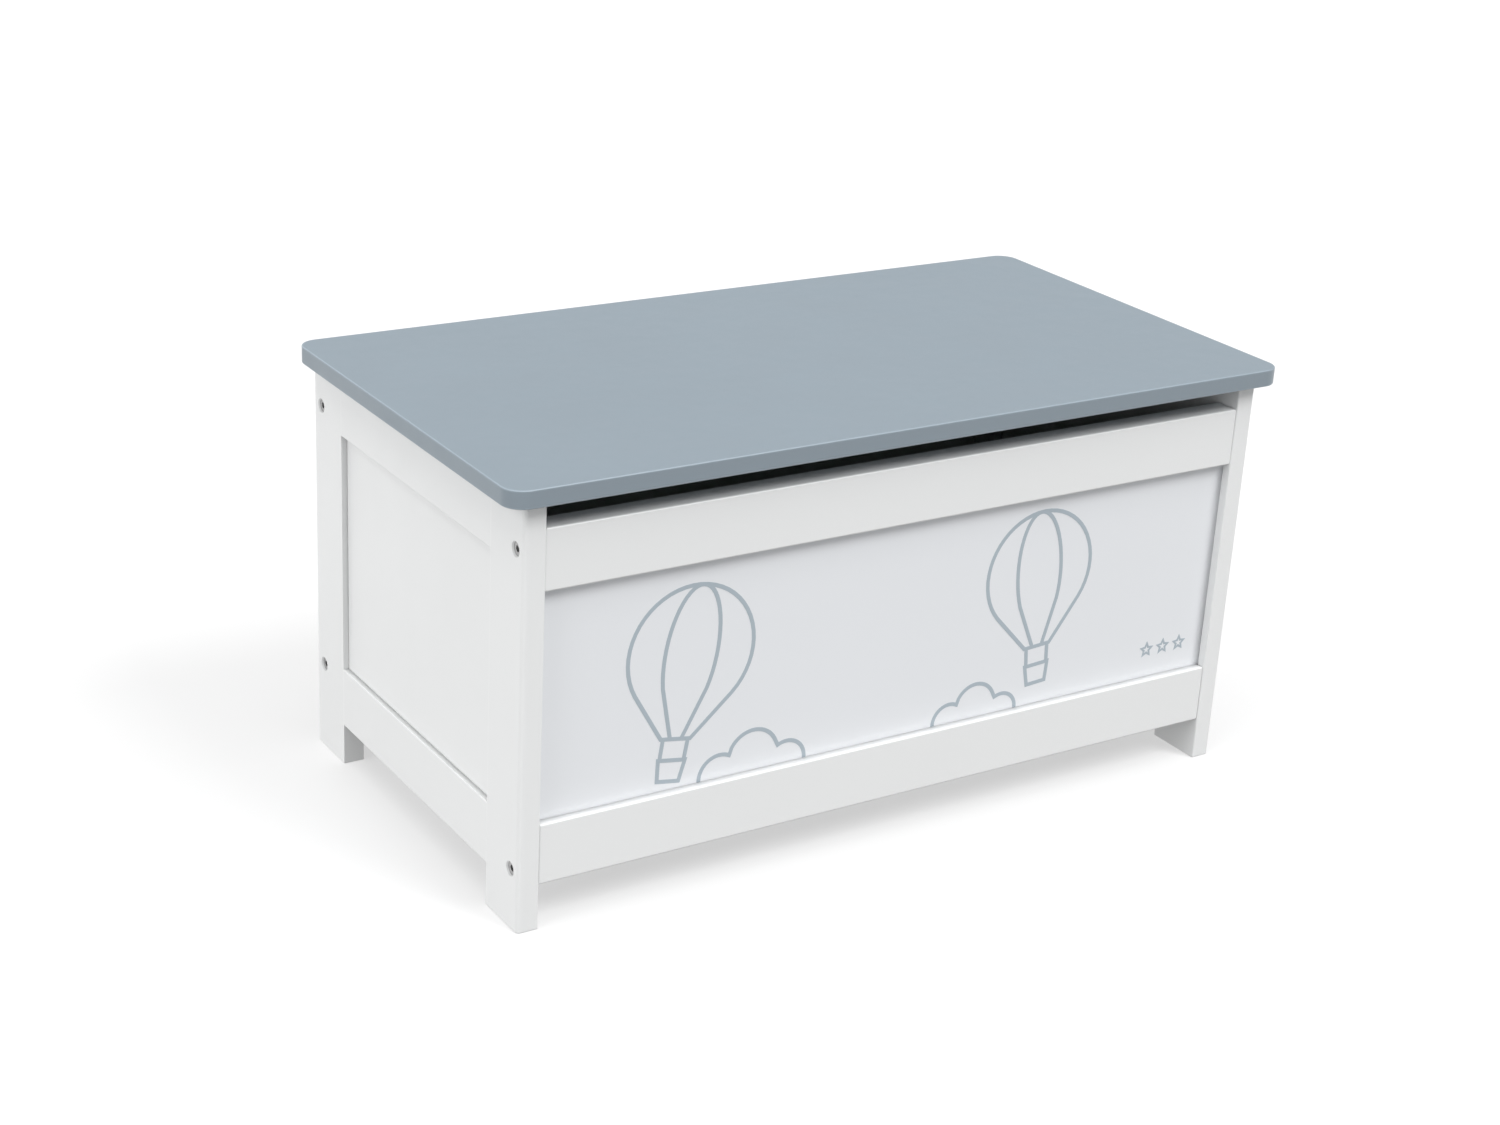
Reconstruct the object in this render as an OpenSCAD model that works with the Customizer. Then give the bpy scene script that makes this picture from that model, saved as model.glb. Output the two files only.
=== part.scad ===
// Low toy box: two framed side panels joined by front rails and a solid back
// board, a thin front panel and base held in grooves, and a lid on two butt
// hinges with a folding stay at each end. Units are millimetres, +Z is up, the
// front faces -Y, and the origin is on the floor under the middle of the box.

/* [Lid] */
// Width of the lid, the widest part of the box
lid_w = 600; // [560:5:700]
// Depth of the lid, front edge to back edge
lid_d = 317; // [300:1:360]
// Thickness of the lid
lid_t = 12; // [12:1:18]
// Radius of the lid's corners, seen from above
lid_corner_r = 14; // [6:1:30]
// How far the lid stands out past each side
lid_side_lap = 14; // [6:1:20]
// How far the lid stands out in front
lid_front_lap = 10; // [6:1:20]

/* [Side frames] */
// Height from the floor to the top of the lid
total_h = 300; // [290:1:360]
// Thickness of the legs and side rails
frame_t = 15; // [15:1:20]
// Width of the legs, seen from the side
leg_w = 43; // [38:1:46]
// Radius on the outer front vertical edge of a front leg
leg_edge_r = 3; // [1:0.5:4]
// Radius on the inner front vertical edge of a front leg, beside the front rails
leg_inner_edge_r = 1; // [0.5:0.5:3]
// Clear height under the side rails
foot_h = 30; // [24:1:32]
// Height of the lower side rail
side_bottom_rail_h = 43; // [42:1:55]
// Height of the upper side rail
side_top_rail_h = 43.5; // [40:0.5:50]
// How far the side panel sits behind the frame's outer face
side_panel_recess = 4.3; // [3:0.1:6]

/* [Front and back] */
// Thickness of the front rails and the back board
rail_t = 18; // [18:1:22]
// How far the front rails sit behind the front of the legs
rail_setback = 0.7; // [0.3:0.1:2]
// Height of the lower front rail's bottom edge
front_bottom_rail_z = 31; // [26:1:33]
// Height of the lower front rail
front_bottom_rail_h = 42; // [42:1:50]
// Height of the upper front rail
front_top_rail_h = 41; // [40:1:50]
// Open gap for fingers between the upper front rail and the lid
finger_gap = 18; // [15:1:20]
// How far the front panel sits behind the front rails
front_panel_recess = 7; // [6:0.5:9]

/* [Thin panels] */
// Thickness of the side and front panels
panel_t = 3; // [2.5:0.5:4]
// How deep the panels run into their grooves
panel_groove = 7; // [5:0.5:7]
// Loose room in front of the front panel in the grooves of the legs and the upper rail
front_panel_room = 1.2; // [0.2:0.1:1.5]
// Thickness of the base
base_t = 4; // [3:0.5:5]
// Height of the underside of the base
base_z = 53; // [53:0.5:54]
// How deep the base runs into its grooves
base_groove = 5; // [3:0.5:5]

/* [Hinges] */
// Length of each hinge
hinge_w = 50; // [40:1:70]
// Distance of each hinge's middle from the middle of the box
hinge_x = 180; // [120:1:220]
// Radius of the hinge knuckles
knuckle_r = 2; // [2:0.1:2.2]

/* [Stays] */
// Distance from the hinge axis to a stay's pivot on the lid, along the lid
stay_reach = 110; // [90:1:130]
// Distance from the hinge axis forward to a stay's pivot on the side frame
stay_base_back = 58; // [55:1:64]
// Distance from the hinge axis down to a stay's pivot on the side frame
stay_base_drop = 28.6; // [28.2:0.1:30]
// Distance from the hinge axis down to a stay's pivot on the lid
stay_lid_drop = 7.6; // [7:0.1:8]

/* [Hidden] */
$fn = 48;
cut = 1;                  // extra length where a cut leaves a face
slip = 0.1;               // slack around a panel, dowel or bolt that is fixed in place

// Levels and faces of the frame
lid_z = total_h - lid_t;
side_x = lid_w / 2 - lid_side_lap;
inner_x = side_x - frame_t;
axis_behind = 1;          // the hinge axis lies this far behind the back face
depth = lid_d + axis_behind + knuckle_r;
lid_front_y = -depth / 2;
front_y = lid_front_y + lid_front_lap;
back_y = lid_front_y + lid_d;
front_leg_back_y = front_y + leg_w;
back_leg_front_y = back_y - leg_w;
rail_front_y = front_y + rail_setback;
rail_back_y = rail_front_y + rail_t;
board_back_y = back_y - rail_setback;
board_front_y = board_back_y - rail_t;
side_panel_x = side_x - side_panel_recess - panel_t;
side_bottom_top_z = foot_h + side_bottom_rail_h;
side_top_bottom_z = lid_z - side_top_rail_h;
front_bottom_top_z = front_bottom_rail_z + front_bottom_rail_h;
front_top_top_z = lid_z - finger_gap;
front_top_bottom_z = front_top_top_z - front_top_rail_h;
front_panel_y = rail_front_y + front_panel_recess;
leg_groove = 4;           // depth of the front panel's groove in a leg

// Hinges: leaf thickness, closed gap between the leaves, pin
leaf_t = 1.2;
leaf_gap = 0.4;
leaf_front_y = board_front_y + 2;
axis_y = back_y + axis_behind;
axis_z = lid_z - leaf_t - leaf_gap / 2;
board_top_z = lid_z - 2 * leaf_t - leaf_gap;
knuckle_count = 5;
knuckle_pitch = hinge_w / knuckle_count;
knuckle_gap = 0.3;
knuckle_room = 0.4;       // space around the knuckles in the board and the lid
pin_r = 1.2;
pin_fit = 0.05;           // running clearance, as a radius
pin_head_r = 1.8;
pin_head_t = 0.8;
leaf_screw_y = (leaf_front_y + back_y - knuckle_r) / 2 - 0.5;
leaf_screw_x = 16;
leaf_end_y = axis_y - knuckle_r - knuckle_gap;

// Connector bolts, barrel nuts and dowels
bolt_inset = 10.3;        // from the front or back edge of a leg to the bolt
bolt_front_y = front_y + bolt_inset;
bolt_back_y = back_y - bolt_inset;
bolt_front_low_z = front_bottom_rail_z + 11;
bolt_back_low_z = 64;
bolt_high_z = lid_z - 32;
bolt_r = 3;
bolt_head_r = 4.8;
bolt_head_t = 5;
bolt_bore_r = 5.1;        // counterbore around the head
bolt_bore_depth = 6.2;
bolt_socket_af = 4;       // hexagon socket, across flats
bolt_socket_depth = 3;
bolt_reach = 36;          // length of the shank inside a rail
nut_r = 5;
nut_l = 12;
nut_in = 30;              // from the rail's end to the nut
nut_slot_w = 1.4;
nut_slot_depth = 1.2;
dowel_r = 3;
frame_dowel_l = 30;
rail_dowel_out = 8;       // length of a rail dowel in the leg
rail_dowel_in = 20;       // length of a rail dowel in the rail
low_dowels_z = [foot_h + 8, foot_h + 18];
high_dowels_z = [lid_z - 26, lid_z - 12];
rail_dowels_z = [front_bottom_rail_z + 29, lid_z - 46];
board_dowels_z = [110, 210];
mid_frame_x = side_x - frame_t / 2;
rail_mid_y = (rail_front_y + rail_back_y) / 2;
board_mid_y = (board_front_y + board_back_y) / 2;
// Bolts and rail dowels of one side, each as [y, z]
bolt_places = [[bolt_front_y, bolt_front_low_z], [bolt_front_y, bolt_high_z],
               [bolt_back_y, bolt_back_low_z], [bolt_back_y, bolt_high_z]];
rail_dowel_places = [[rail_mid_y, rail_dowels_z[0]], [rail_mid_y, rail_dowels_z[1]],
                     [board_mid_y, board_dowels_z[0]], [board_mid_y, board_dowels_z[1]]];

// Stays: the four pivots form a parallelogram, so the lower arm turns with the lid
// and the upper arm keeps its direction
stay_t = 1.5;             // sheet of the brackets
arm_t = 2;
stay_gap = 0.3;           // between sheets that slide past each other
lower_arm_w = 12;
upper_arm_w = 10;
rivet_r = 2;
rivet_fit = 0.05;
open_pivot_fit = 0.3;     // slack at the pivot on the lid
rivet_head_r = 3.6;
rivet_head_t = 1;
stay_base_pivot = [axis_y - stay_base_back, axis_z - stay_base_drop];
stay_elbow = stay_base_pivot + [-stay_reach, -stay_lid_drop];
stay_lid_pivot = [axis_y - stay_reach, axis_z - stay_lid_drop];
lower_arm_x = inner_x - stay_t - stay_gap - arm_t;
upper_arm_x = lower_arm_x - stay_gap - arm_t;
lid_tab_x = upper_arm_x - stay_gap - stay_t;
stay_plate_w = 30;        // base bracket, front to back
stay_plate_below = 9;
stay_plate_above = 19;
stay_screw_up = 13;       // base bracket's screws above the pivot
stay_screw_off = 9;
lid_tab_w = 14;
lid_tab_below = 7;
lid_foot_w = 15;          // lid bracket's flat foot, across the box
lid_foot_l = 32;
lid_screw_off = 11;

// Countersunk wood screws
screw_r = 1.5;
screw_head_r = 2.8;
body_screw_l = 15;
stay_screw_l = 11;
lid_screw_l = 9.5;

// Colours
white = [0.91, 0.91, 0.91];
panel_white = [0.87, 0.88, 0.90];
lid_colour = [0.63, 0.67, 0.71];
steel = [0.72, 0.73, 0.74];
beech = [0.80, 0.66, 0.47];

// ---------- Helpers ----------

// Puts a right-hand piece on the side named
module on_side(side) {
  mirror([side == "left" ? 1 : 0, 0, 0]) children();
}

module both_sides() {
  for (side = ["left", "right"]) on_side(side) children();
}

// Box between two corners
module block(low, high) {
  translate(low) cube(high - low);
}

// Cylinder along +X that starts at a point
module rod_x(start, r, l) {
  translate(start) rotate([0, 90, 0]) cylinder(r = r, h = l);
}

// Cylinder along +Y that starts at a point
module rod_y(start, r, l) {
  translate(start) rotate([-90, 0, 0]) cylinder(r = r, h = l);
}

module rounded_rectangle(size, r) {
  translate([r, 0]) square([size[0] - 2 * r, size[1]]);
  translate([0, r]) square([size[0], size[1] - 2 * r]);
  for (x = [r, size[0] - r], y = [r, size[1] - r]) translate([x, y]) circle(r);
}

// ---------- Side frames ----------

// Bolt and dowel holes through one end of the box, front pair or back pair
module bolt_holes(places) {
  for (p = places) {
    rod_x([side_x - bolt_bore_depth, p[0], p[1]], bolt_bore_r, bolt_bore_depth + cut);
    rod_x([inner_x - bolt_reach - slip, p[0], p[1]], bolt_r + slip, bolt_reach + frame_t);
  }
}

module rail_dowel_holes(places) {
  for (p = places)
    rod_x([inner_x - rail_dowel_in - slip, p[0], p[1]], dowel_r + slip,
          rail_dowel_in + rail_dowel_out + 2 * slip);
}

module frame_dowel_holes() {
  for (y = [front_leg_back_y, back_leg_front_y], z = concat(low_dowels_z, high_dowels_z))
    rod_y([mid_frame_x, y - frame_dowel_l / 2 - slip, z], dowel_r + slip, frame_dowel_l + 2 * slip);
}

module side_panel_solid(slack) {
  block([side_panel_x - slack, front_leg_back_y - panel_groove - slack,
         side_bottom_top_z - panel_groove - slack],
        [side_panel_x + panel_t + slack, back_leg_front_y + panel_groove + slack,
         side_top_bottom_z + panel_groove + slack]);
}

module front_panel_solid(slack, room = 0) {
  block([-inner_x - leg_groove - slack, front_panel_y - slack - room,
         front_bottom_top_z - panel_groove - slack],
        [inner_x + leg_groove + slack, front_panel_y + panel_t + slack,
         front_top_bottom_z + panel_groove + slack]);
}

module base_solid(slack) {
  block([-inner_x - base_groove - slack, rail_back_y - base_groove - slack, base_z - slack],
        [inner_x + base_groove + slack, board_front_y + base_groove + slack,
         base_z + base_t + slack]);
}

module front_leg() {
  difference() {
    translate([inner_x, front_y, 0]) linear_extrude(lid_z) {
      translate([leg_inner_edge_r, 0]) square([frame_t - leg_inner_edge_r - leg_edge_r, leg_w]);
      translate([0, leg_inner_edge_r]) square([frame_t - leg_edge_r, leg_w - leg_inner_edge_r]);
      translate([leg_inner_edge_r, leg_edge_r]) square([frame_t - leg_inner_edge_r, leg_w - leg_edge_r]);
      translate([leg_inner_edge_r, leg_inner_edge_r]) circle(leg_inner_edge_r);
      translate([frame_t - leg_edge_r, leg_edge_r]) circle(leg_edge_r);
    }
    side_panel_solid(slip);
    front_panel_solid(slip, front_panel_room);
    base_solid(slip);
    frame_dowel_holes();
    bolt_holes([bolt_places[0], bolt_places[1]]);
    rail_dowel_holes([rail_dowel_places[0], rail_dowel_places[1]]);
  }
}

module rear_leg() {
  difference() {
    block([inner_x, back_leg_front_y, 0], [side_x, back_y, lid_z]);
    side_panel_solid(slip);
    base_solid(slip);
    frame_dowel_holes();
    bolt_holes([bolt_places[2], bolt_places[3]]);
    rail_dowel_holes([rail_dowel_places[2], rail_dowel_places[3]]);
  }
}

module side_top_rail() {
  difference() {
    block([inner_x, front_leg_back_y, side_top_bottom_z], [side_x, back_leg_front_y, lid_z]);
    side_panel_solid(slip);
    frame_dowel_holes();
    stay_base_screw_shapes(slip);
  }
}

module side_bottom_rail() {
  difference() {
    block([inner_x, front_leg_back_y, foot_h], [side_x, back_leg_front_y, side_bottom_top_z]);
    side_panel_solid(slip);
    base_solid(slip);
    frame_dowel_holes();
  }
}

// ---------- Front, back and base ----------

module barrel_holes(places, from_y, l) {
  for (p = places)
    rod_y([inner_x - nut_in, from_y, p[1]], nut_r + slip, l);
}

module front_rail(bottom_z, top_z, panel_room) {
  barrel_depth = rail_back_y - bolt_front_y + nut_l / 2 + slip;
  difference() {
    block([-inner_x, rail_front_y, bottom_z], [inner_x, rail_back_y, top_z]);
    front_panel_solid(slip, panel_room);
    base_solid(slip);
    both_sides() {
      bolt_holes([bolt_places[0], bolt_places[1]]);
      rail_dowel_holes([rail_dowel_places[0], rail_dowel_places[1]]);
      barrel_holes([bolt_places[0], bolt_places[1]], rail_back_y - barrel_depth, barrel_depth + cut);
    }
  }
}

module back_board() {
  color(white) difference() {
    block([-inner_x, board_front_y, front_bottom_rail_z], [inner_x, board_back_y, board_top_z]);
    base_solid(slip);
    both_sides() {
      bolt_holes([bolt_places[2], bolt_places[3]]);
      rail_dowel_holes([rail_dowel_places[2], rail_dowel_places[3]]);
      barrel_holes([bolt_places[2], bolt_places[3]], board_front_y - cut,
                   bolt_back_y - board_front_y + nut_l / 2 + slip + cut);
      hinge_body_screw_shapes(slip);
      knuckle_relief();
    }
  }
}

// ---------- Fasteners ----------

module connector_bolts() {
  color(steel) both_sides() for (p = bolt_places) {
    head_x = side_x - bolt_bore_depth;
    difference() {
      union() {
        rod_x([head_x, p[0], p[1]], bolt_head_r, bolt_head_t);
        rod_x([inner_x - bolt_reach, p[0], p[1]], bolt_r, head_x - inner_x + bolt_reach);
      }
      translate([head_x + bolt_head_t - bolt_socket_depth, p[0], p[1]]) rotate([0, 90, 0])
        cylinder(r = bolt_socket_af / sqrt(3), h = bolt_socket_depth + cut, $fn = 6);
    }
  }
}

// Each nut crosses its bolt, with a screwdriver slot in the face towards the inside
module barrel_nuts() {
  color(steel) both_sides() for (p = bolt_places) {
    inward = p[0] < 0 ? 1 : -1;
    difference() {
      rod_y([inner_x - nut_in, p[0] - nut_l / 2, p[1]], nut_r, nut_l);
      rod_x([inner_x - nut_in - nut_r - cut, p[0], p[1]], bolt_r + slip, 2 * (nut_r + cut));
      translate([inner_x - nut_in, p[0] + inward * nut_l / 2, p[1]])
        cube([2 * nut_r, 2 * nut_slot_depth, nut_slot_w], center = true);
    }
  }
}

module frame_dowels() {
  color(beech) both_sides()
    for (y = [front_leg_back_y, back_leg_front_y], z = concat(low_dowels_z, high_dowels_z))
      rod_y([mid_frame_x, y - frame_dowel_l / 2, z], dowel_r, frame_dowel_l);
}

module rail_dowels() {
  color(beech) both_sides() for (p = rail_dowel_places)
    rod_x([inner_x - rail_dowel_in, p[0], p[1]], dowel_r, rail_dowel_in + rail_dowel_out);
}

// Countersunk screw along +Z with the flat of its head at z = 0
module screw(l, head_t, slack) {
  mirror([0, 0, 1]) {
    translate([0, 0, -slack]) cylinder(r = screw_r + slack, h = l + 2 * slack);
    cylinder(r1 = screw_head_r + slack, r2 = screw_r + slack, h = head_t);
  }
}

module hinge_body_screw_shapes(slack) {
  for (x = [-leaf_screw_x, leaf_screw_x])
    translate([hinge_x + x, leaf_screw_y, board_top_z + leaf_t]) screw(body_screw_l, leaf_t, slack);
}

module hinge_lid_screw_shapes(slack) {
  for (x = [-leaf_screw_x, leaf_screw_x])
    translate([hinge_x + x, leaf_screw_y, lid_z - leaf_t])
      mirror([0, 0, 1]) screw(lid_screw_l, leaf_t, slack);
}

module stay_base_screw_shapes(slack) {
  for (y = [-stay_screw_off, stay_screw_off])
    translate([inner_x - stay_t, stay_base_pivot[0] + y, stay_base_pivot[1] + stay_screw_up])
      rotate([0, -90, 0]) screw(stay_screw_l, stay_t, slack);
}

module stay_lid_screw_shapes(slack) {
  for (y = [-lid_screw_off, lid_screw_off])
    translate([lid_tab_x - lid_foot_w / 2 + stay_t, stay_lid_pivot[0] + y, lid_z - stay_t])
      mirror([0, 0, 1]) screw(lid_screw_l, stay_t, slack);
}

// ---------- Lid ----------

module lid_board() {
  color(lid_colour) difference() {
    translate([-lid_w / 2, lid_front_y, lid_z]) linear_extrude(lid_t)
      rounded_rectangle([lid_w, lid_d], lid_corner_r);
    both_sides() {
      hinge_lid_screw_shapes(slip);
      stay_lid_screw_shapes(slip);
      knuckle_relief();
    }
  }
}

// ---------- Hinges ----------

module knuckle_relief() {
  rod_x([hinge_x - hinge_w / 2 - cut, axis_y, axis_z], knuckle_r + knuckle_room, hinge_w + 2 * cut);
}

// One leaf: a flat plate at height z, with every second knuckle from the one numbered first
module hinge_leaf(z, first) {
  difference() {
    union() {
      block([hinge_x - hinge_w / 2, leaf_front_y, z], [hinge_x + hinge_w / 2, leaf_end_y, z + leaf_t]);
      for (i = [first : 2 : knuckle_count - 1]) {
        x = hinge_x - hinge_w / 2 + i * knuckle_pitch + knuckle_gap / 2;
        rod_x([x, axis_y, axis_z], knuckle_r, knuckle_pitch - knuckle_gap);
        block([x, leaf_end_y - cut, z], [x + knuckle_pitch - knuckle_gap, axis_y, z + leaf_t]);
      }
    }
    rod_x([hinge_x - hinge_w, axis_y, axis_z], pin_r + pin_fit, 2 * hinge_w);
    hinge_body_screw_shapes(slip);
    hinge_lid_screw_shapes(slip);
  }
}

module hinge_body_leaf(side) {
  color(steel) on_side(side) hinge_leaf(board_top_z, 0);
}

module hinge_lid_leaf(side) {
  color(steel) on_side(side) hinge_leaf(lid_z - leaf_t, 1);
}

module hinge_pin(side) {
  color(steel) on_side(side) {
    rod_x([hinge_x - hinge_w / 2, axis_y, axis_z], pin_r, hinge_w);
    for (x = [hinge_x - hinge_w / 2 - pin_head_t, hinge_x + hinge_w / 2])
      rod_x([x, axis_y, axis_z], pin_head_r, pin_head_t);
  }
}

// ---------- Stays ----------

// Flat arm with round ends between two pivots, each given as [y, z]
module arm(x, from, to, w, from_hole_r, to_hole_r) {
  run = norm(to - from);
  difference() {
    translate([x, from[0], from[1]]) rotate([atan2(to[1] - from[1], to[0] - from[0]), 0, 0]) {
      block([0, 0, -w / 2], [arm_t, run, w / 2]);
      rod_x([0, 0, 0], w / 2, arm_t);
      rod_x([0, run, 0], w / 2, arm_t);
    }
    rod_x([x - cut, from[0], from[1]], from_hole_r, arm_t + 2 * cut);
    rod_x([x - cut, to[0], to[1]], to_hole_r, arm_t + 2 * cut);
  }
}

// Rivet along +X from x, with a head at the start and, if asked, one at the end
module rivet(x, l, at, end_head) {
  rod_x([x, at[0], at[1]], rivet_r, l);
  rod_x([x - rivet_head_t, at[0], at[1]], rivet_head_r, rivet_head_t);
  if (end_head) rod_x([x + l, at[0], at[1]], rivet_head_r, rivet_head_t);
}

module stay_base_bracket(side) {
  color(steel) on_side(side) difference() {
    block([inner_x - stay_t, stay_base_pivot[0] - stay_plate_w / 2,
           stay_base_pivot[1] - stay_plate_below],
          [inner_x, stay_base_pivot[0] + stay_plate_w / 2, stay_base_pivot[1] + stay_plate_above]);
    rod_x([inner_x - stay_t - cut, stay_base_pivot[0], stay_base_pivot[1]],
          rivet_r + rivet_fit, stay_t + 2 * cut);
    stay_base_screw_shapes(slip);
  }
}

module stay_lower_arm(side) {
  color(steel) on_side(side)
    arm(lower_arm_x, stay_base_pivot, stay_elbow, lower_arm_w, rivet_r + rivet_fit,
        rivet_r + rivet_fit);
}

module stay_upper_arm(side) {
  color(steel) on_side(side)
    arm(upper_arm_x, stay_elbow, stay_lid_pivot, upper_arm_w, rivet_r + rivet_fit,
        rivet_r + open_pivot_fit);
}

module stay_lid_bracket(side) {
  color(steel) on_side(side) difference() {
    union() {
      block([lid_tab_x, stay_lid_pivot[0] - lid_tab_w / 2, stay_lid_pivot[1] - lid_tab_below],
            [lid_tab_x + stay_t, stay_lid_pivot[0] + lid_tab_w / 2, lid_z]);
      block([lid_tab_x + stay_t - lid_foot_w, stay_lid_pivot[0] - lid_foot_l / 2, lid_z - stay_t],
            [lid_tab_x + stay_t, stay_lid_pivot[0] + lid_foot_l / 2, lid_z]);
    }
    rod_x([lid_tab_x - cut, stay_lid_pivot[0], stay_lid_pivot[1]], rivet_r + rivet_fit,
          stay_t + 2 * cut);
    stay_lid_screw_shapes(slip);
  }
}

module stay_elbow_rivet(side) {
  color(steel) on_side(side)
    rivet(upper_arm_x, lower_arm_x + arm_t - upper_arm_x, stay_elbow, true);
}

module stay_base_rivets() {
  color(steel) both_sides() rivet(lower_arm_x, inner_x - lower_arm_x, stay_base_pivot, false);
}

module stay_lid_rivets() {
  color(steel) both_sides()
    rivet(lid_tab_x, upper_arm_x + arm_t - lid_tab_x, stay_lid_pivot, true);
}

// ---------- Nodes ----------

color(white) on_side("left") front_leg();  // left_front_leg
color(white) on_side("left") rear_leg();  // left_rear_leg
color(white) on_side("left") side_top_rail();  // left_top_rail
color(white) on_side("left") side_bottom_rail();  // left_bottom_rail
color(white) on_side("left") side_panel_solid(0);  // left_panel
color(white) front_leg();  // right_front_leg
color(white) rear_leg();  // right_rear_leg
color(white) side_top_rail();  // right_top_rail
color(white) side_bottom_rail();  // right_bottom_rail
color(white) side_panel_solid(0);  // right_panel
color(white) front_rail(front_top_bottom_z, front_top_top_z, front_panel_room);  // front_top_rail
color(white) front_rail(front_bottom_rail_z, front_bottom_top_z, 0);  // front_bottom_rail
color(panel_white) front_panel_solid(0);  // front_panel
back_board();
color(white) base_solid(0);  // base_panel
connector_bolts();
barrel_nuts();
frame_dowels();
rail_dowels();
lid_board();
hinge_body_leaf("left");  // left_hinge_body_leaf
hinge_lid_leaf("left");  // left_hinge_lid_leaf
hinge_pin("left");  // left_hinge_pin
hinge_body_leaf("right");  // right_hinge_body_leaf
hinge_lid_leaf("right");  // right_hinge_lid_leaf
hinge_pin("right");  // right_hinge_pin
color(steel) both_sides() hinge_body_screw_shapes(0);  // hinge_body_screws
color(steel) both_sides() hinge_lid_screw_shapes(0);  // hinge_lid_screws
stay_base_bracket("left");  // left_stay_base_bracket
stay_lower_arm("left");  // left_stay_lower_arm
stay_upper_arm("left");  // left_stay_upper_arm
stay_lid_bracket("left");  // left_stay_lid_bracket
stay_elbow_rivet("left");  // left_stay_elbow_rivet
stay_base_bracket("right");  // right_stay_base_bracket
stay_lower_arm("right");  // right_stay_lower_arm
stay_upper_arm("right");  // right_stay_upper_arm
stay_lid_bracket("right");  // right_stay_lid_bracket
stay_elbow_rivet("right");  // right_stay_elbow_rivet
stay_base_rivets();
stay_lid_rivets();
color(steel) both_sides() stay_base_screw_shapes(0);  // stay_base_screws
color(steel) both_sides() stay_lid_screw_shapes(0);  // stay_lid_screws
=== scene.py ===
"""Toy box: softened and painted boards, a rounded lid, plated fittings and a line-art print,
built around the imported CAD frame. Lengths are in metres, in the CAD's own frame."""
import math

import bmesh
import bpy
from mathutils import Matrix, Vector


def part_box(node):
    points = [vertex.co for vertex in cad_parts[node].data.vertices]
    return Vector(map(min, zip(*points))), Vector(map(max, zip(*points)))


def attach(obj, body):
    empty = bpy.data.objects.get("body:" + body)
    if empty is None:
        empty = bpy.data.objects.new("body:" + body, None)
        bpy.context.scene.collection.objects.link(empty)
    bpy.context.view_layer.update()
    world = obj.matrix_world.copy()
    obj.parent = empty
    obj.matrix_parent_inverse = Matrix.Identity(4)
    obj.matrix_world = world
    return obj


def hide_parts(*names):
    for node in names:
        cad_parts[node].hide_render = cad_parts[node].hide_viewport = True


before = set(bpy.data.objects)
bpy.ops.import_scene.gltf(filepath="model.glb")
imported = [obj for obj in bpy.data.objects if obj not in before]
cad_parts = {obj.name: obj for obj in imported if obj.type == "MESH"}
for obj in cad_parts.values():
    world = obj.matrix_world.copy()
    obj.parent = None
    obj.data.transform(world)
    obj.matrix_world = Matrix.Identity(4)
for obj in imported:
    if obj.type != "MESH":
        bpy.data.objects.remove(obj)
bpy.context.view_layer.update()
MM = 0.001


# ---------- Camera ----------

CAMERA_PLACE = (-0.9334, -1.3779, 0.8186)
CAMERA_AZIMUTH = math.radians(-33.29)
CAMERA_ELEVATION = math.radians(22.04)
CAMERA_ROLL = math.radians(3.16)
CAMERA_LENS = 61.03
CAMERA_SENSOR = 36.0


def make_camera():
    """A pinhole camera, turned by its azimuth, elevation and roll."""
    data = bpy.data.cameras.new("camera")
    data.lens = CAMERA_LENS
    data.sensor_width = CAMERA_SENSOR
    camera = bpy.data.objects.new("camera", data)
    bpy.context.scene.collection.objects.link(camera)
    level = math.cos(CAMERA_ELEVATION)
    back = Vector((math.sin(CAMERA_AZIMUTH) * level, -math.cos(CAMERA_AZIMUTH) * level,
                   math.sin(CAMERA_ELEVATION)))
    turn = (-back).to_track_quat("-Z", "Y").to_matrix() @ Matrix.Rotation(CAMERA_ROLL, 3, "Z")
    camera.matrix_world = Matrix.Translation(CAMERA_PLACE) @ turn.to_4x4()
    bpy.context.scene.camera = camera


make_camera()


# ---------- Materials ----------

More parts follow.
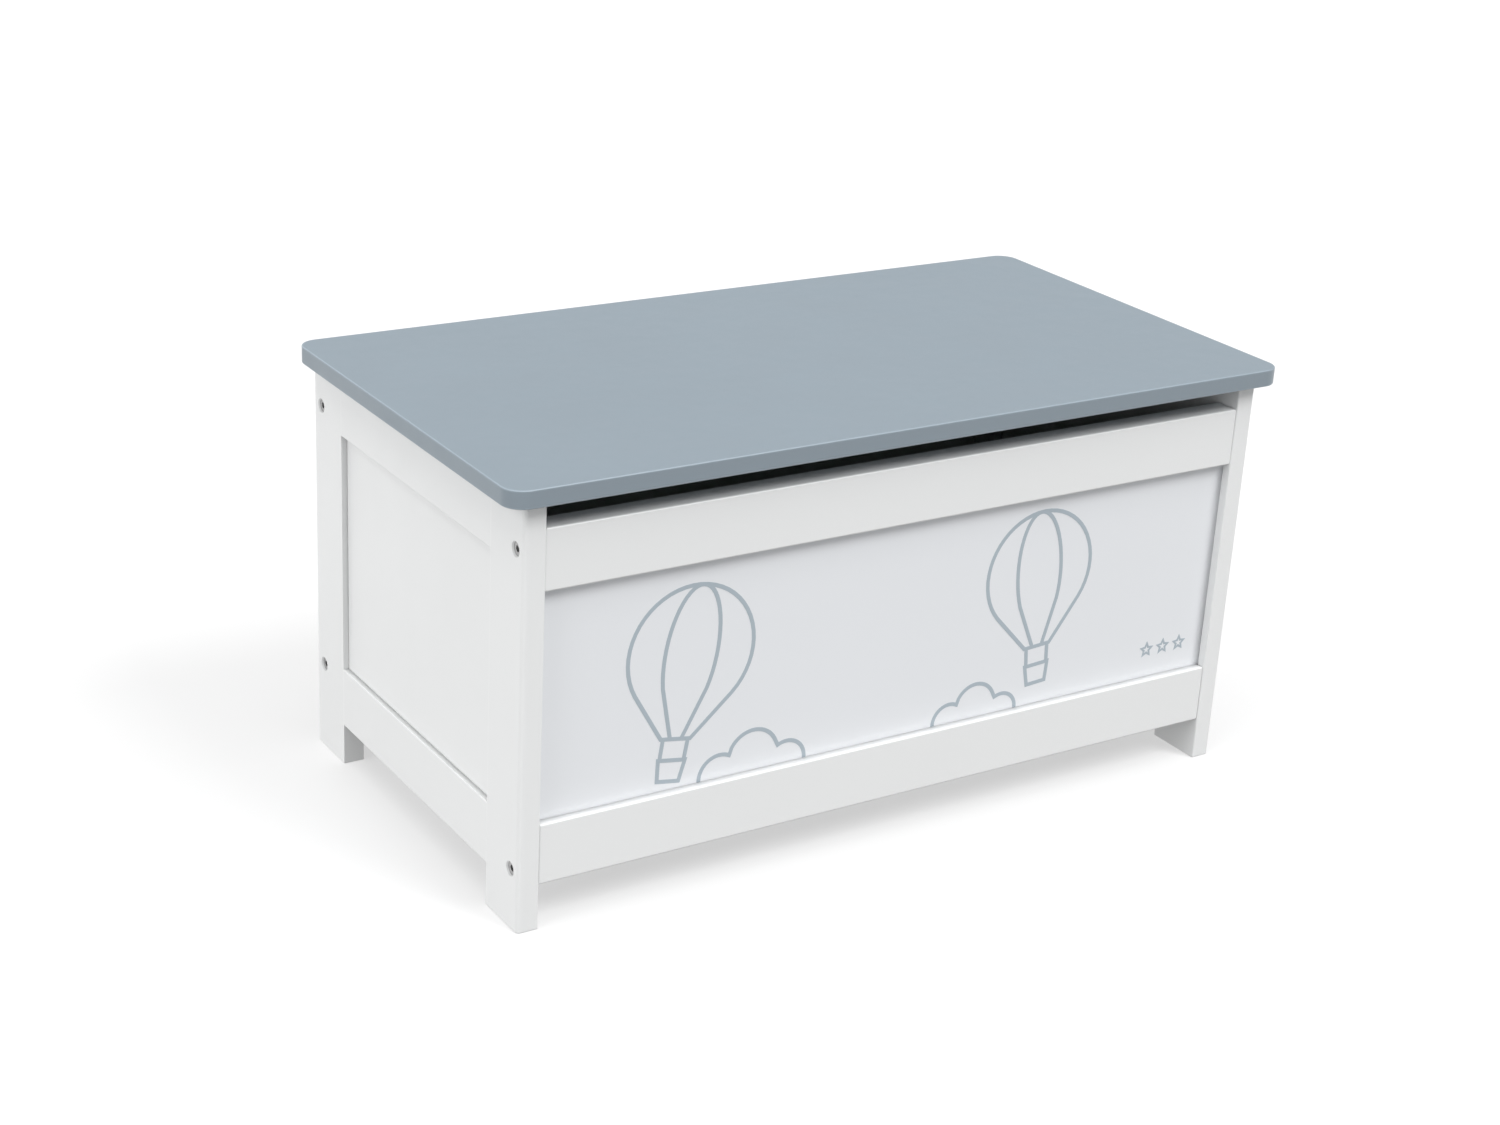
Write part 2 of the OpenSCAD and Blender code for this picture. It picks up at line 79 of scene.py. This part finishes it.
class Shader:
    """A Principled material and short ways to add nodes to it."""

    def __init__(self, name):
        self.material = bpy.data.materials.new(name)
        self.material.use_nodes = True
        self.tree = self.material.node_tree
        self.bsdf = self.tree.nodes["Principled BSDF"]
        self.coordinates = self.tree.nodes.new("ShaderNodeTexCoord")
        self.place = self.coordinates.outputs["Object"]

    def set(self, name, value):
        self.bsdf.inputs[name].default_value = value

    def link(self, output, target):
        self.tree.links.new(output, target)

    def stretched(self, scale):
        node = self.tree.nodes.new("ShaderNodeMapping")
        node.inputs["Scale"].default_value = scale
        self.link(self.place, node.inputs["Vector"])
        return node.outputs["Vector"]

    def upright(self):
        """How far the surface faces up or down, from 0 to 1."""
        parts = self.tree.nodes.new("ShaderNodeSeparateXYZ")
        self.link(self.coordinates.outputs["Normal"], parts.inputs["Vector"])
        steepness = self.tree.nodes.new("ShaderNodeMath")
        steepness.operation = "ABSOLUTE"
        self.link(parts.outputs["Z"], steepness.inputs[0])
        return steepness.outputs["Value"]

    def noise(self, scale, detail=2.0, vector=None):
        node = self.tree.nodes.new("ShaderNodeTexNoise")
        node.inputs["Scale"].default_value = scale
        node.inputs["Detail"].default_value = detail
        self.link(vector or self.place, node.inputs["Vector"])
        return node.outputs["Fac"]

    def ranged(self, value, low, high, start=0.25, end=0.75):
        """Maps start..end of value smoothly to low..high."""
        node = self.tree.nodes.new("ShaderNodeMapRange")
        node.interpolation_type = "SMOOTHSTEP"
        for name, number in (("From Min", start), ("From Max", end), ("To Min", low), ("To Max", high)):
            node.inputs[name].default_value = number
        self.link(value, node.inputs["Value"])
        return node.outputs["Result"]

    def occlusion(self, reach, inside=False):
        """How open the surface is within reach: low in creases, or, from inside, low at edges."""
        node = self.tree.nodes.new("ShaderNodeAmbientOcclusion")
        node.samples = 8
        node.inside = inside
        node.only_local = inside
        node.inputs["Distance"].default_value = reach
        return node.outputs["AO"]

    def mixed(self, factor, first, second):
        node = self.tree.nodes.new("ShaderNodeMix")
        node.data_type = "RGBA"
        self.link(factor, node.inputs["Factor"])
        for socket, colour in ((node.inputs["A"], first), (node.inputs["B"], second)):
            if isinstance(colour, tuple):
                socket.default_value = (*colour, 1.0)
            else:
                self.link(colour, socket)
        return node.outputs["Result"]

    def bump(self, height, distance, strength=1.0, under=None):
        node = self.tree.nodes.new("ShaderNodeBump")
        node.inputs["Distance"].default_value = distance
        node.inputs["Strength"].default_value = strength
        self.link(height, node.inputs["Height"])
        if under is not None:
            self.link(under, node.inputs["Normal"])
        return node.outputs["Normal"]


def linear(red, green, blue):
    """An sRGB colour, 0 to 255, as linear values."""
    def one(value):
        value /= 255
        return value / 12.92 if value <= 0.04045 else ((value + 0.055) / 1.055) ** 2.4
    return one(red), one(green), one(blue)


def shaded(colour, factor):
    return tuple(channel * factor for channel in colour)


def grey(value):
    return value, value, value


# How far the painted shade in creases and the painted highlight and gloss on edges reach
CREASE_REACH = 3 * MM
EDGE_REACH = 1.2 * MM
EDGE_ROUGHNESS = 0.29
# Noise scales, in features per metre, and the heights of the bumps
MOTTLE_SCALE = 5.0
DULLNESS_SCALE = 35.0
WAVE_SCALE = 28.0
WAVE_HEIGHT = 0.4 * MM
WAVE_STRENGTH = 0.05
PEEL_SCALE = 380.0
PEEL_HEIGHT = 0.12 * MM


def sprayed_paint(name, colour, roughness, mottle=0.008, peel=0.05, edge=1.0, edge_highlight=1.04, crease_shade=0.9):
    """Lacquer sprayed on board: faint mottling, orange peel, long soft waves, painted shade that
    darkens creases by the crease factor, and a painted highlight that makes edges paler by the edge
    highlight factor, with glossier edges. The side faces, which face neither up nor down, get painted
    shade that makes them darker by the edge factor."""
    paint = Shader(name)
    clouds = paint.ranged(paint.noise(MOTTLE_SCALE, 4.0), 0.0, 1.0)
    tone = paint.mixed(clouds, shaded(colour, 1 + mottle), shaded(colour, 1 - mottle))
    # Painted shade: the side faces, facing neither up nor down, come out darker by the edge factor
    if edge != 1.0:
        flatness = paint.ranged(paint.upright(), 0.0, 1.0, 0.1, 0.5)
        tone = paint.mixed(flatness, shaded(colour, edge), tone)
    # Painted shade: creases and inner corners come out darker by the crease factor
    open_air = paint.ranged(paint.occlusion(CREASE_REACH), 0.0, 1.0, 0.15, 0.85)
    # Painted highlight: edges come out paler by the edge highlight factor, and glossier
    edge_highlight_and_gloss = paint.ranged(paint.occlusion(EDGE_REACH, True), 1.0, 0.0, 0.7, 0.98)
    tone = paint.mixed(edge_highlight_and_gloss, tone, shaded(colour, edge_highlight))
    paint.link(paint.mixed(open_air, shaded(colour, crease_shade), tone), paint.bsdf.inputs["Base Color"])
    dull = paint.ranged(paint.noise(DULLNESS_SCALE, 3.0), roughness - 0.05, roughness + 0.06)
    paint.link(paint.mixed(edge_highlight_and_gloss, dull, grey(EDGE_ROUGHNESS)), paint.bsdf.inputs["Roughness"])
    waves = paint.bump(paint.noise(WAVE_SCALE, 2.0), WAVE_HEIGHT, WAVE_STRENGTH)
    skin = paint.bump(paint.noise(PEEL_SCALE, 1.0), PEEL_HEIGHT, peel, waves)
    paint.link(skin, paint.bsdf.inputs["Normal"])
    return paint.material


ROLLING_SCALE = 1800.0
ROLLING_STRETCH = 40
ROLLING_DEPTH = 0.03 * MM
PASSIVATION_SCALE = 60.0


def plated_steel(name, along, colour=(0.62, 0.62, 0.61), roughness=0.32):
    """Zinc plate with fine rolling lines along one axis and cloudy passivation."""
    steel = Shader(name)
    steel.set("Metallic", 1.0)
    scale = [ROLLING_SCALE] * 3
    scale["xyz".index(along)] = ROLLING_SCALE / ROLLING_STRETCH
    lines = steel.noise(1.0, 2.0, steel.stretched(scale))
    clouds = steel.ranged(steel.noise(PASSIVATION_SCALE, 4.0), 0.0, 1.0)
    tone = steel.mixed(clouds, shaded(colour, 0.86), shaded(colour, 1.06))
    steel.link(tone, steel.bsdf.inputs["Base Color"])
    steel.link(steel.ranged(lines, roughness - 0.07, roughness + 0.1), steel.bsdf.inputs["Roughness"])
    steel.link(steel.bump(lines, ROLLING_DEPTH, 0.25), steel.bsdf.inputs["Normal"])
    return steel.material


GRAIN_ACROSS = 260.0
GRAIN_ALONG = 9.0
GRAIN_DEPTH = 0.1 * MM
BEECH_DARK = (0.52, 0.33, 0.17)
BEECH_PALE = (0.66, 0.46, 0.27)
BEECH_RAY = (0.36, 0.20, 0.10)


def bare_beech(name, along):
    """Straight pale grain along one axis with short darker rays."""
    beech = Shader(name)
    beech.set("Roughness", 0.62)
    scale = [GRAIN_ACROSS] * 3
    scale["xyz".index(along)] = GRAIN_ALONG
    grain = beech.ranged(beech.noise(1.0, 5.0, beech.stretched(scale)), 0.0, 1.0, 0.35, 0.65)
    rays = beech.ranged(beech.noise(3.0, 2.0, beech.stretched(scale)), 0.0, 1.0, 0.6, 0.75)
    wood = beech.mixed(grain, BEECH_DARK, BEECH_PALE)
    beech.link(beech.mixed(rays, wood, BEECH_RAY), beech.bsdf.inputs["Base Color"])
    beech.link(beech.bump(grain, GRAIN_DEPTH, 0.3), beech.bsdf.inputs["Normal"])
    return beech.material


WHITE = linear(226, 227, 227)
COOL_WHITE = linear(223, 225, 228)
LID_BLUE = linear(135, 147, 156)
INK_BLUE = linear(161, 172, 180)

# Each paint has painted shade in its creases and a painted highlight along its edges
white_paint = sprayed_paint("white_paint_satin", WHITE, 0.38)
panel_paint = sprayed_paint("panel_cool_white", COOL_WHITE, 0.37, mottle=0.005, peel=0.03, crease_shade=0.96)
# The lid's edges get a stronger painted highlight, and its side faces painted shade
lid_paint = sprayed_paint("lid_blue_grey", LID_BLUE, 0.35, mottle=0.01, edge=0.86, edge_highlight=1.3)
ink = sprayed_paint("print_ink", INK_BLUE, 0.5, mottle=0.03)
steel_x = plated_steel("zinc_along_x", "x")
# The bolts' zinc is a darker grey, painting the shade inside the bolt holes
bolt_steel = plated_steel("zinc_bolts", "x", (0.44, 0.44, 0.44), 0.36)
steel_y = plated_steel("zinc_along_y", "y")
steel_z = plated_steel("zinc_along_z", "z")
beech_x = bare_beech("beech_along_x", "x")
beech_y = bare_beech("beech_along_y", "y")


# ---------- Mesh helpers ----------

WELD = 1e-6
FLAT = math.radians(0.5)
SHARP = math.radians(35)
TOUCH = 2e-5
SIDES = (("left", "right"), ("front", "back"), ("bottom", "top"))


def finished(name, bm, material, body, node=None):
    """Makes an object of the mesh, rides it on its body, and hides the CAD node that it stands for."""
    mesh = bpy.data.meshes.new(name)
    bm.normal_update()
    bm.to_mesh(mesh)
    bm.free()
    mesh.materials.append(material)
    mesh.shade_smooth()
    piece = bpy.data.objects.new(name, mesh)
    bpy.context.scene.collection.objects.link(piece)
    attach(piece, body)
    if node:
        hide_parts(node)
    return piece


def evened(piece):
    """Shades large flat faces flat and the narrow roundings smooth."""
    even = piece.modifiers.new("even_normals", "WEIGHTED_NORMAL")
    even.mode = "FACE_AREA"
    even.weight = 100
    even.keep_sharp = True
    return piece


def welded(node):
    """A CAD node's mesh with its seams welded and its flat faces joined up."""
    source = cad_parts[node].data
    bm = bmesh.new()
    corners = [bm.verts.new(v.co) for v in source.vertices]
    for face in source.polygons:
        bm.faces.new([corners[i] for i in face.vertices])
    bmesh.ops.remove_doubles(bm, verts=bm.verts, dist=WELD)
    bmesh.ops.dissolve_limit(bm, angle_limit=FLAT, verts=bm.verts, edges=bm.edges)
    return bm


def outline_sides(edge, low, high):
    """The sides of the box this edge lies on: two for an edge of the box, one for a line on a side."""
    found = set()
    for axis, names in enumerate(SIDES):
        for limit, name in zip((low, high), names):
            if all(abs(v.co[axis] - limit[axis]) < TOUCH for v in edge.verts):
                found.add(name)
    return frozenset(found)


def softened(node, material, body, radius, rounds=None):
    """A CAD board with its outline rounded: radius along the edges of its box, unless rounds has
    another for the edge between two sides or for the lines on one side."""
    rounds = {frozenset(sides): r for sides, r in (rounds or {}).items()}
    low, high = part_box(node)
    bm = welded(node)
    weight = bm.edges.layers.float.new("bevel_weight_edge")
    widest = max([radius, *rounds.values()])
    for edge in bm.edges:
        if edge.is_manifold and edge.calc_face_angle() > SHARP:
            sides = outline_sides(edge, low, high)
            edge[weight] = rounds.get(sides, radius if len(sides) == 2 else 0.0) / widest
    piece = finished(node + "_painted", bm, material, body, node)
    bevel = piece.modifiers.new("rounded_edges", "BEVEL")
    bevel.limit_method = "WEIGHT"
    bevel.width = widest
    bevel.segments = 4
    bevel.use_clamp_overlap = False
    return evened(piece)


def eased(node, material, body, width):
    """A CAD fitting with every sharp edge broken."""
    piece = finished(node + "_finished", welded(node), material, body, node)
    bevel = piece.modifiers.new("broken_edges", "BEVEL")
    bevel.limit_method = "ANGLE"
    bevel.angle_limit = SHARP
    bevel.width = width
    bevel.segments = 2
    return evened(piece)


# ---------- Painted frame ----------

# Radii of the boards' edges, from the tight joints to the roundest
JOINT = 0.12 * MM
CRISP = 0.4 * MM
SOFT = 0.9 * MM
RAIL_END = 1.3 * MM
RAIL_LIP = 1.5 * MM
ROUND = 2.0 * MM


def make_side_frame(side):
    """The five boards of one side frame, which faces outwards to its own side."""
    front_leg = {("front", "bottom"): SOFT, ("back", "bottom"): SOFT, (side, "bottom"): SOFT,
                 (side, "back"): JOINT, ("top",): CRISP, ("bottom",): SOFT}
    rear_leg = {("back", side): ROUND, ("back", "bottom"): SOFT, ("front", "bottom"): SOFT,
                (side, "bottom"): SOFT, (side, "front"): JOINT}
    rail = {(side, "front"): JOINT, (side, "back"): JOINT, (side, "bottom"): SOFT}
    softened(side + "_front_leg", white_paint, "box", CRISP, front_leg)
    softened(side + "_rear_leg", white_paint, "box", CRISP, rear_leg)
    for place in ("top", "bottom"):
        softened(f"{side}_{place}_rail", white_paint, "box", CRISP, rail)
    softened(side + "_panel", white_paint, "box", JOINT)


def make_front_rails():
    """The two front rails, which butt between the legs with rounded ends."""
    rail = {("front", "top"): SOFT, ("front", "bottom"): RAIL_LIP, ("back", "top"): SOFT}
    for end in ("left", "right"):
        rail.update({("front", end): RAIL_END, (end, "top"): RAIL_END, (end, "bottom"): RAIL_END})
    for node in ("front_top_rail", "front_bottom_rail"):
        softened(node, white_paint, "box", CRISP, rail)


make_side_frame("left")
make_side_frame("right")
make_front_rails()
softened("front_panel", panel_paint, "box", JOINT)
softened("base_panel", white_paint, "box", JOINT)
softened("back_board", white_paint, "box", SOFT)


# ---------- Lid ----------

LID_CORNER = 14 * MM
LID_EDGE = 0.8 * MM
CORNER_STEPS = 14


def rounded_outline(low, high, radius, steps):
    """Points round a rectangle with round corners, anticlockwise."""
    centres = ((high[0] - radius, high[1] - radius), (low[0] + radius, high[1] - radius),
               (low[0] + radius, low[1] + radius), (high[0] - radius, low[1] + radius))
    points = []
    for quarter, (x, y) in enumerate(centres):
        for step in range(steps + 1):
            angle = (quarter + step / steps) * math.pi / 2
            points.append((x + radius * math.cos(angle), y + radius * math.sin(angle)))
    return points


def make_lid():
    """The lid board, with round corners and softened edges, at its CAD size."""
    low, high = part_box("lid_board")
    bm = bmesh.new()
    outline = rounded_outline(low, high, LID_CORNER, CORNER_STEPS)
    face = bm.faces.new([bm.verts.new((x, y, low[2])) for x, y in outline])
    risen = bmesh.ops.extrude_face_region(bm, geom=[face])
    top = [v for v in risen["geom"] if isinstance(v, bmesh.types.BMVert)]
    bmesh.ops.translate(bm, verts=top, vec=(0, 0, high[2] - low[2]))
    bmesh.ops.recalc_face_normals(bm, faces=bm.faces)
    rim = [e for e in bm.edges if e.calc_face_angle() > math.radians(60)]
    bmesh.ops.bevel(bm, geom=rim, offset=LID_EDGE, segments=5, profile=0.5, affect="EDGES")
    evened(finished("lid_board_painted", bm, lid_paint, "lid", "lid_board"))


make_lid()


# ---------- Fittings ----------

# How wide the edges of each kind of fitting are broken
SCREW_EDGE = 0.15 * MM
NUT_EDGE = 0.2 * MM
HINGE_EDGE = 0.2 * MM
BOLT_EDGE = 0.25 * MM
STAY_EDGE = 0.3 * MM
RIVET_EDGE = 0.4 * MM
DOWEL_EDGE = 0.6 * MM

eased("connector_bolts", bolt_steel, "box", BOLT_EDGE)
eased("barrel_nuts", steel_y, "box", NUT_EDGE)
eased("frame_dowels", beech_y, "box", DOWEL_EDGE)
eased("rail_dowels", beech_x, "box", DOWEL_EDGE)
for side in ("left", "right"):
    eased(side + "_hinge_body_leaf", steel_x, "box", HINGE_EDGE)
    eased(side + "_hinge_lid_leaf", steel_x, "lid", HINGE_EDGE)
    eased(side + "_hinge_pin", steel_x, "box", HINGE_EDGE)
    eased(side + "_stay_base_bracket", steel_y, "box", STAY_EDGE)
    eased(side + "_stay_lower_arm", steel_y, side + "_lower_arm", STAY_EDGE)
    eased(side + "_stay_elbow_rivet", steel_x, side + "_lower_arm", RIVET_EDGE)
    eased(side + "_stay_upper_arm", steel_y, side + "_upper_arm", STAY_EDGE)
    eased(side + "_stay_lid_bracket", steel_y, "lid", STAY_EDGE)
for node, body in (("stay_base_rivets", "box"), ("stay_lid_rivets", "lid")):
    eased(node, steel_x, body, RIVET_EDGE)
for node, body in (("hinge_body_screws", "box"), ("stay_base_screws", "box"),
                   ("hinge_lid_screws", "lid"), ("stay_lid_screws", "lid")):
    eased(node, steel_z, body, SCREW_EDGE)


# ---------- Print on the front panel ----------

LINE = 2.8 * MM
INK_THICKNESS = 0.12 * MM
INK_LAYER = 0.01 * MM
ARC_STEP = math.radians(7)


def arc(centre, radius, start, end, stretch=1.0):
    """Points along an arc in the panel's plane, from start to end in degrees."""
    start, end = math.radians(start), math.radians(end)
    count = max(2, round(abs(end - start) / ARC_STEP))
    return [(centre[0] + stretch * radius * math.cos(start + (end - start) * i / count),
             centre[1] + radius * math.sin(start + (end - start) * i / count)) for i in range(count + 1)]


def moved(points, place, tilt=0.0):
    """The points turned by tilt, in degrees, and then moved by place."""
    turn = Matrix.Rotation(math.radians(tilt), 2)
    return [tuple(turn @ Vector(p) + Vector(place)) for p in points]


def stroke(bm, points, closed, front, width=LINE):
    """A flat line of even width along the points, its face towards -Y."""
    count = len(points)
    rows = []
    for i, point in enumerate(points):
        here = Vector(point)
        before = Vector(points[i - 1]) if closed or i > 0 else here
        after = Vector(points[(i + 1) % count]) if closed or i < count - 1 else here
        into = (here - before).normalized() if before != here else (after - here).normalized()
        away = (after - here).normalized() if after != here else into
        across = Vector((-(into + away).y, (into + away).x)).normalized()
        spread = width / 2 / max(0.5, across.dot(Vector((-into.y, into.x))))
        rows.append([bm.verts.new((e.x, y, e.y)) for y in (front, front + INK_THICKNESS)
                     for e in (here - across * spread, here + across * spread)])
    spans = range(count if closed else count - 1)
    for i in spans:
        a, b = rows[i], rows[(i + 1) % count]
        for p, q in ((0, 1), (1, 3), (3, 2), (2, 0)):
            bm.faces.new((a[p], a[q], b[q], b[p]))
    if not closed:
        for row in (rows[0], rows[-1]):
            bm.faces.new((row[0], row[1], row[3], row[2]))


def balloon(radius):
    """A hot-air balloon about its middle: outline, two seams, ropes and basket."""
    mouth, mouth_half = -1.28 * radius, 0.24 * radius
    envelope = arc((0, 0), radius, -38, 218) + [(-mouth_half, mouth), (mouth_half, mouth)]
    seams = [arc((0, 0), radius, 90, 212, 0.42) + [(-0.09 * radius, mouth)],
             arc((0, 0), radius, 90, -32, 0.42) + [(0.09 * radius, mouth)]]
    basket_top, basket_bottom, half = -1.6 * radius, -1.92 * radius, 0.22 * radius
    ropes = [[(side * mouth_half * 0.85, mouth), (side * half * 0.9, basket_top)] for side in (-1, 1)]
    basket = [(-half, basket_top), (half, basket_top),
              (half * 0.8, basket_bottom), (-half * 0.8, basket_bottom)]
    return [(envelope, True), (basket, True)] + [(line, False) for line in seams + ropes]


def cloud(width):
    """Three bumps that rise from behind the lower rail."""
    return [(arc((-0.28 * width, 0.02 * width), 0.17 * width, 195, 62)
             + arc((0, 0.12 * width), 0.21 * width, 150, 30)
             + arc((0.29 * width, 0.02 * width), 0.16 * width, 118, -12), False)]


def star(radius):
    """The outline of a five-pointed star, from its top point."""
    points = []
    for i in range(10):
        reach = radius if i % 2 == 0 else 0.45 * radius
        angle = math.radians(90 + 36 * i)
        points.append((reach * math.cos(angle), reach * math.sin(angle)))
    return points


# Each motif's shape and size, its place from the middle of the panel and from the lower rail's
# top, all in millimetres, and its tilt in degrees
MOTIFS = ((balloon, 46, -162, 93, -9), (cloud, 90, -112, -1, 0),
          (balloon, 44, 114, 100, 4), (cloud, 78, 68, -1, 0))
STAR_RADIUS = 5.0 * MM
STAR_LINE = 1.6 * MM
STAR_RISE = 21 * MM
STARS_X = (220 * MM, 235 * MM, 250 * MM)


def make_print():
    """The line drawing, a thin layer of ink on the front panel."""
    rail_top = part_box("front_bottom_rail")[1][2]
    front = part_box("front_panel")[0][1] - INK_THICKNESS
    bm = bmesh.new()
    for motif, size, x, rise, tilt in MOTIFS:
        place = (x * MM, rail_top + rise * MM)
        for layer, (points, closed) in enumerate(motif(size * MM)):
            stroke(bm, moved(points, place, tilt), closed, front - layer * INK_LAYER)
    for x in STARS_X:
        stroke(bm, moved(star(STAR_RADIUS), (x, rail_top + STAR_RISE)), True, front, STAR_LINE)
    bmesh.ops.recalc_face_normals(bm, faces=bm.faces)
    drawing = finished("front_print", bm, ink, "box")
    drawing.data.shade_flat()


make_print()


# ---------- Floor and light ----------

FLOOR_HALF = 30.0
FLOOR_TONE = 0.4
FLOOR_GLOW = 0.5


def make_floor():
    """A plain pale floor that glows slightly and is hidden from the diffuse rays of the box."""
    mesh = bpy.data.meshes.new("floor")
    corners = [(x * FLOOR_HALF, y * FLOOR_HALF, 0) for x, y in ((-1, -1), (1, -1), (1, 1), (-1, 1))]
    mesh.from_pydata(corners, [], [(0, 1, 2, 3)])
    floor = bpy.data.objects.new("floor", mesh)
    bpy.context.scene.collection.objects.link(floor)
    pale = Shader("floor_pale")
    pale.set("Base Color", (FLOOR_TONE, FLOOR_TONE, FLOOR_TONE, 1.0))
    pale.set("Emission Color", (1.0, 1.0, 1.0, 1.0))
    pale.set("Emission Strength", FLOOR_GLOW)
    pale.set("Roughness", 0.9)
    pale.set("Specular IOR Level", 0.1)
    mesh.materials.append(pale.material)
    floor.visible_diffuse = False


WORLD_LIGHT = 0.3
HORIZON = (0.05, 0.2)
SOFTBOXES = (("left_low", -85, 20, 50, 1.6), ("overhead", -40, 75, 50, 1.5),
             ("front_right", 30, 47, 26, 2.1), ("back_fill", 205, 30, 50, 0.5))


def softbox(name, azimuth, elevation, spread, power):
    """Even soft light from one direction, the same all over the floor."""
    data = bpy.data.lights.new(name, "SUN")
    data.angle = math.radians(spread)
    data.energy = power
    light = bpy.data.objects.new(name, data)
    bpy.context.scene.collection.objects.link(light)
    azimuth, elevation = math.radians(azimuth), math.radians(elevation)
    level = math.cos(elevation)
    source = Vector((math.sin(azimuth) * level, -math.cos(azimuth) * level, math.sin(elevation)))
    light.matrix_world = source.to_track_quat("Z", "Y").to_matrix().to_4x4()


def make_light():
    """A pale sky that is brighter at the horizon, and the softboxes."""
    world = bpy.data.worlds.new("studio")
    world.use_nodes = True
    tree = world.node_tree
    background = tree.nodes["Background"]
    direction = tree.nodes.new("ShaderNodeTexCoord")
    parts = tree.nodes.new("ShaderNodeSeparateXYZ")
    fade = tree.nodes.new("ShaderNodeMapRange")
    for name, number in (("From Min", HORIZON[0]), ("From Max", HORIZON[1]),
                         ("To Min", 1.0), ("To Max", WORLD_LIGHT)):
        fade.inputs[name].default_value = number
    tree.links.new(direction.outputs["Generated"], parts.inputs["Vector"])
    steepness = tree.nodes.new("ShaderNodeMath")
    steepness.operation = "ABSOLUTE"
    tree.links.new(parts.outputs["Z"], steepness.inputs[0])
    tree.links.new(steepness.outputs["Value"], fade.inputs["Value"])
    tree.links.new(fade.outputs["Result"], background.inputs["Strength"])
    background.inputs["Color"].default_value = (1.0, 1.0, 1.0, 1.0)
    bpy.context.scene.world = world
    for name, azimuth, elevation, spread, power in SOFTBOXES:
        softbox(name, azimuth, elevation, spread, power)


make_floor()
make_light()
bpy.context.scene.view_settings.view_transform = "Standard"
